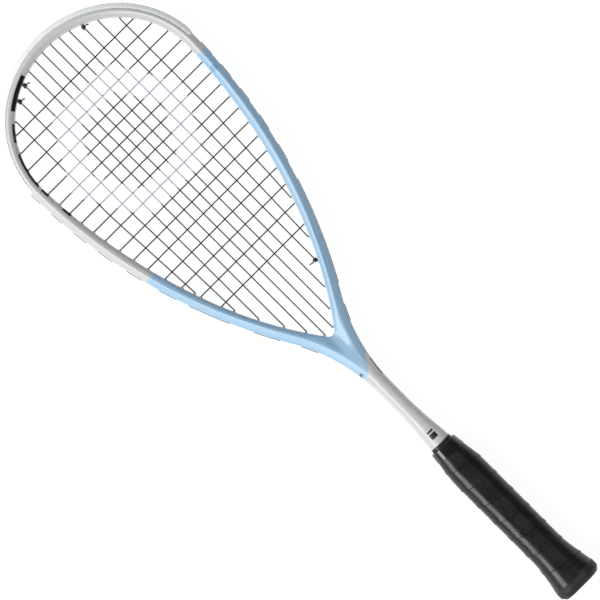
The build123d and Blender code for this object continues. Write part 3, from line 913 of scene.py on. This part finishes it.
def main_string():
    left_tie, right_tie = TOP_HOLES[LEFT][TIE_MAIN], TOP_HOLES[RIGHT][TIE_MAIN]
    route = Route()
    route.add(knot_end(left_tie, -1))
    route.through(left_tie, True, -1)
    tie_route(route, LEFT, True)
    columns = [(LEFT, index) for index in reversed(range(UPRIGHTS_A_SIDE))]
    columns += [(RIGHT, index) for index in range(UPRIGHTS_A_SIDE)]
    for place, (side, index) in enumerate(columns):
        downward = place % 2 == 0
        upper, lower = TOP_HOLES[side][index], LOW_HOLES[side][index]
        route.through(upper if downward else lower, False)
        main_run(route, side, index, downward)
        route.through(lower if downward else upper, True)
        if downward:
            route.along_groove(lower, LOW_HOLES[side][index + side], 1)
        elif place + 1 < len(columns):
            next_side, next_index = columns[place + 1]
            route.along_groove(upper, TOP_HOLES[next_side][next_index], 1)
    tie_route(route, RIGHT, False)
    route.through(right_tie, False, -1)
    route.add(knot_end(right_tie, -1))
    return piece(route.curve("string_of_mains"), "string", "main_string")


def cross_string():
    start, finish = TOP_HOLES[LEFT][START_MAIN], LOW_HOLES[RIGHT][TIE_MAIN]
    route = Route()
    route.add(knot_end(start, -1))
    route.through(start, True, -1)
    route.along_groove(start, CROSS_HOLES[LEFT][0], -1)
    for row in range(len(CROSS_Y)):
        rightwards = row % 2 == 0
        near, far = (LEFT, RIGHT) if rightwards else (RIGHT, LEFT)
        route.through(CROSS_HOLES[near][row], False)
        cross_run(route, row, rightwards)
        route.through(CROSS_HOLES[far][row], True)
        if row + 1 < len(CROSS_Y):
            route.along_groove(CROSS_HOLES[far][row], CROSS_HOLES[far][row + 1], -1)
    route.along_groove(CROSS_HOLES[RIGHT][-1], finish, -1)
    route.through(finish, False, -1)
    route.add(knot_end(finish, 1))
    return piece(route.curve("string_of_crosses"), "string", "cross_string")


# A cut tail's points: across, back along the string and up, from the end of the last turn
KNOT_TAIL = [(0.9, 1.2, 0.9), (2.6, 1.9, 0.7), (4.4, 1.6, 0.3), (6.0, 0.8, 0.0)]
# Control points stand this much outside the line that their spline makes
SPLINE_SHARE = 1.08


def knot(name, hole, toward, node):
    """Nearly three turns of the tied end round the string that shares its hole, and a cut tail."""
    steps = 10
    count = round(KNOT_TURNS * steps)
    radius = KNOT_RADIUS * SPLINE_SHARE
    points = []
    for step in range(count + 1):
        angle = -pi / 2 + 2 * pi * step / steps
        place = toward * (KNOT_START + KNOT_PITCH * step / steps)
        points.append(hole.bend + [radius * cos(angle), place, radius * sin(angle)])
    side = -1 if toward > 0 else 1
    last = points[-1]
    points += [last + [side * across, -toward * back, up] for across, back, up in KNOT_TAIL]
    return piece(string_tube(name, points), "string", node)


# ---- handle

def handle_ring(half_width, half_thickness, growth, shares):
    """Points round a rounded rectangle at shares of its perimeter from +X, moved out by a distance."""
    corner = HANDLE_CORNER * half_thickness
    upright, arc, level = half_thickness - corner, corner * pi / 2, half_width - corner
    quarter = upright + arc + level
    along = (np.asarray(shares) % 1.0) * 4 * quarter
    quadrant = np.minimum((along / quarter).astype(int), 3)
    along = along - quadrant * quarter
    along = np.where(quadrant % 2 == 1, quarter - along, along)
    angle = np.clip((along - upright) / corner, 0, pi / 2)
    x = half_width - corner + corner * np.cos(angle) - np.maximum(0, along - upright - arc)
    z = np.minimum(along, upright) + corner * np.sin(angle)
    x, z = x + growth * np.cos(angle), z + growth * np.sin(angle)
    return x * np.where((quadrant == 0) | (quadrant == 3), 1, -1), z * np.where(quadrant < 2, 1, -1)


def handle_size(y):
    """Half-width and half-thickness of the handle under its wrap, its steps softened."""
    down, widths, thicknesses = (np.array(column) for column in zip(*FOAM))
    places = np.clip(-(y + np.linspace(-5, 5, 7)), -down[0], -down[-1])
    return [float(np.mean(np.interp(places, -down, sizes))) for sizes in (widths, thicknesses)]


def handle_point(y, share, growth):
    width, thickness = handle_size(y)
    x, z = handle_ring(width, thickness, growth, [share])
    return np.array([x[0], y, z[0]])


def handle_band(stations, width, thickness):
    """A grid of rings round one rounded rectangle: each station is its place along Y and its growth."""
    grid = []
    for y, growth in stations:
        x, z = handle_ring(width, thickness, growth, np.arange(RING) / RING)
        grid.append(np.array([x, np.full(RING, y), z]).T)
    return np.array(grid)


# The wound strip's section: distance above its lower edge, and height over the wrap's mean surface
WRAP_SECTION = [(0.0, -1.7), (0.0, -0.62), (0.02, -0.12), (0.22, 0.10), (0.75, 0.17), (1.7, 0.10),
                (2.7, -0.06), (3.8, -0.24), (5.2, -0.33), (8.0, -0.33), (12.0, -0.31), (16.0, -0.33),
                (19.0, -0.38), (19.9, -0.47), (20.45, -0.60), (21.6, -0.95), (22.0, -1.7)]
WRAP_TOP_Y = -168.4
WRAP_LOW_Y = -333.0
WRAP_WOBBLE = 0.05


def grip_wrap():
    """One strip wound up the handle, each turn lapped over the one below."""
    first = turn_at(WRAP_LOW_Y) - 1.0
    last = turn_at(WRAP_TOP_Y) + 1.0
    steps = int((last - first) * RING)
    sizes = {}
    grid = []
    for step in range(steps + 1):
        turn = first + step / RING
        edge = SEAM_START_Y + SEAM_PITCH * turn
        row = []
        for distance, height in WRAP_SECTION:
            y = min(max(edge + distance, WRAP_LOW_Y), WRAP_TOP_Y)
            key = round(y, 1)
            if key not in sizes:
                sizes[key] = handle_size(y)
            wobble = WRAP_WOBBLE * sin(turn * 37.0 + distance) if 0.1 < distance < 19 else 0.0
            x, z = handle_ring(*sizes[key], WRAP_THICKNESS + height + wobble, [turn])
            row.append((x[0], y, z[0]))
        grid.append(row)
    return piece(new_object("grip_strip", *tube(np.array(grid)), GRIP), "grip", "grip_wrap")


def turn_at(y):
    """How many turns the strip's lower edge has made when it reaches a place along Y."""
    return (y - SEAM_START_Y) / SEAM_PITCH


TAPE_TOP_Y = -168.0
TAPE_SKEW = 1.1
TAPE_HEIGHT = WRAP_THICKNESS + TAPE_THICKNESS
# The tape's section: share of the way down, and height over the foam
TAPE_ROWS = [(0.0, 0.6), (0.0, 1.75), (0.012, 2.12), (0.05, 2.26), (0.25, TAPE_HEIGHT), (0.5, TAPE_HEIGHT),
             (0.75, TAPE_HEIGHT), (0.96, 2.27), (0.99, 2.2), (1.0, 2.0), (1.0, 0.6)]


def finishing_tape():
    """Glossy band over the top of the wrap, wound a little askew and faintly rippled."""
    shares = np.arange(RING) / RING
    low = TAPE_END_Y - TAPE_SKEW * np.cos(2 * pi * shares - 0.4)
    grid = []
    for way, growth in TAPE_ROWS:
        ripple = 0.05 if growth > 2.2 else 0.0
        ring = []
        for share, bottom in zip(shares, low):
            y = min(TAPE_TOP_Y + (bottom - TAPE_TOP_Y) * way, TAPE_TOP_Y)
            ring.append(handle_point(y, share, growth + ripple * sin(share * 14 * pi)))
        grid.append(ring)
    band = closed_band(np.array(grid))
    return piece(new_object("finishing_tape_band", *band, TAPE), "tape", "finishing_tape")


def grip_collar():
    """Thin rubber band round the shaft above the tape, its edges rounded."""
    stations = [(-168.1, -1.2), (-168.1, -0.25), (-167.9, -0.05), (-167.5, 0.0), (-165.4, 0.0),
                (-165.0, -0.08), (-164.8, -0.3), (-164.8, -1.2)]
    band = closed_band(handle_band(stations, *COLLAR_HALF))
    return piece(new_object("grip_collar_band", *band, COLLAR), "collar", "grip_collar")


# The badge's seat in the end face: radius and place along Y
BADGE_SEAT = [(12.1, -343.0), (12.1, -342.7), (12.1, -341.8), (3.0, -341.8)]


def butt_cap():
    """The flared end: a rounded rim, a bevel, and an end face with the badge's seat."""
    rim = [(-331.0, -3.0), (-331.4, -1.6), (-332.9, -0.55), (-333.25, -0.2), (-333.8, -0.02), (-336.0, 0.0),
           (-338.2, 0.0), (-338.9, -0.12), (-339.6, -0.6), (-341.2, -1.95), (-342.3, -2.9), (-342.8, -3.5),
           (-343.0, -4.4), (-343.0, -6.0)]
    grid = list(handle_band(rim, *RIM_HALF))
    angles = np.arctan2(grid[-1][:, 2], grid[-1][:, 0])
    grid += [np.array([radius * np.cos(angles), np.full(RING, y), radius * np.sin(angles)]).T
             for radius, y in BADGE_SEAT]
    inner = grid[0] * [0.5, 1, 0.5]
    return piece(new_object("butt_cap_rim", *tube(np.array([inner] + grid)), CAP), "cap", "butt_cap")


# ---- build

BUMPER = bumper_nylon()
FRAME_INK = moulded("frame_ink", 0.5, INK, (0.012, 0.011, 0.013), (70.0,), (1300.0, 2.0), 0.010,
                    Specular_IOR_Level=0.12)
GROMMET = moulded("grommet_nylon", 0.35, (0.50, 0.58, 0.60), (0.70, 0.76, 0.78), (160.0, 0.6),
                  (1500.0, 2.0), 0.010, Subsurface_Weight=0.25)
STRING = string_nylon()
GRIP = grip_leather()
TAPE = moulded("tape_vinyl", 0.2, (0.006, 0.006, 0.007), (0.012, 0.012, 0.014), (60.0,), (120.0, 3.0),
               0.05, 0.4, Coat_Weight=0.8, Coat_Roughness=0.10)
COLLAR = moulded("collar_rubber", 0.38, (0.007, 0.007, 0.008), (0.014, 0.014, 0.015), (130.0,),
                 (1200.0, 2.0), 0.015)
CAP = cap_rubber()

build_frame()
bumper_guard()
for label, side in (("left", LEFT), ("right", RIGHT)):
    strip(f"side_strip_{label}", side, *SIDE_STRIP_Y, f"side_grommet_strip_{label}")
    strip(f"lower_strip_{label}", side, *LOWER_STRIP_Y, f"lower_grommet_strip_{label}")
    knot(f"knot_main_{label}", TOP_HOLES[side][TIE_MAIN], -1, f"main_knot_{label}")
knot("knot_cross_top", TOP_HOLES[LEFT][START_MAIN], -1, "cross_knot_top")
knot("knot_cross_bottom", LOW_HOLES[RIGHT][TIE_MAIN], 1, "cross_knot_bottom")
main_string()
cross_string()
grip_wrap()
finishing_tape()
grip_collar()
butt_cap()

for node, material in (("handle_foam", foam_material()), ("butt_badge", badge_plastic()),
                       ("butt_cap_staples", staple_wire())):
    slots = frame["nodes"][node].data.materials
    slots.clear()
    slots.append(material)


# ---- floor, light and camera

FLOOR_HALF = 6000


def floor():
    """Pale paper that glows softly, so that it is nearly white from every side."""
    paint = Paint("floor_paper", 0.9, Emission_Color=(1, 1, 1, 1), Emission_Strength=0.955)
    paint.layers((0.09, 0.09, 0.09), ((0.10, 0.10, 0.102), paint.cloud(6.0)))
    paint.bump(paint.noise(300.0), 0.05, 0.3)
    corners = ((-1, -1), (1, -1), (1, 1), (-1, 1))
    verts = [(FLOOR_HALF * x, FLOOR_HALF * y, -STRING_PLANE_Z) for x, y in corners]
    paint.material.cycles.emission_sampling = "NONE"
    obj = new_object("floor", verts, [(0, 1, 2, 3)], paint.material)


def area_light(name, place, target, size, power):
    """A rectangular soft light at a place in metres, facing a target."""
    data = bpy.data.lights.new(name, "AREA")
    data.shape = "RECTANGLE"
    data.size, data.size_y = size
    data.energy = power
    obj = add_to_scene(name, data)
    direction = np.array(place, float) - np.array(target, float)
    direction /= np.linalg.norm(direction)
    side = np.cross((0, 1, 0), direction)
    side /= np.linalg.norm(side)
    up = np.cross(direction, side)
    obj.matrix_world = Matrix([[side[i], up[i], direction[i], place[i]] for i in range(3)] + [[0, 0, 0, 1]])


def world():
    """Pale surroundings for the eye. For the light they are pale near the horizon and dim overhead."""
    data = bpy.data.worlds.new("studio")
    bpy.context.scene.world = data
    data.use_nodes = True
    tree = data.node_tree
    path = tree.nodes.new("ShaderNodeLightPath")
    direction = tree.nodes.new("ShaderNodeTexCoord")
    parts = tree.nodes.new("ShaderNodeSeparateXYZ")
    tree.links.new(direction.outputs["Generated"], parts.inputs[0])
    glow = Field(tree, parts.outputs["Z"]).rescaled(0.05, 0.5, 0.66, 0.10)
    shade = tree.nodes["Background"]
    seen = tree.nodes.new("ShaderNodeBackground")
    mix = tree.nodes.new("ShaderNodeMixShader")
    shade.inputs["Color"].default_value = (0.93, 0.96, 1.0, 1)
    tree.links.new(glow.socket, shade.inputs["Strength"])
    seen.inputs["Color"].default_value = (0.95, 0.95, 0.96, 1)
    tree.links.new(path.outputs["Is Camera Ray"], mix.inputs["Fac"])
    tree.links.new(shade.outputs[0], mix.inputs[1])
    tree.links.new(seen.outputs[0], mix.inputs[2])
    tree.links.new(mix.outputs[0], tree.nodes["World Output"].inputs["Surface"])


# What the camera sees: the width of its view at the strings and the middle of it, in metres
VIEW_WIDTH = 0.5332
VIEW_CENTRE = (0.0014, 0.0126)


def camera():
    """Straight above the strings, turned so that the racket runs corner to corner."""
    data = bpy.data.cameras.new("camera")
    data.lens = 200
    data.sensor_width = 36
    data.clip_end = 60
    distance = VIEW_WIDTH * data.lens / data.sensor_width
    obj = add_to_scene("camera", data)
    obj.location = (*VIEW_CENTRE, STRING_PLANE_Z * MM + distance)
    obj.rotation_euler = (0, 0, radians(-45))
    bpy.context.scene.camera = obj


floor()
world()
area_light("key", (-1.3, 0.2, 1.7), (0, 0.05, 0), (1.2, 2.6), 56)
area_light("tip", (0.0, 2.4, 1.3), (0, 0.05, 0), (2.0, 0.8), 6)
camera()
scene = bpy.context.scene
scene.view_settings.view_transform = "Standard"
scene.view_settings.look = "None"
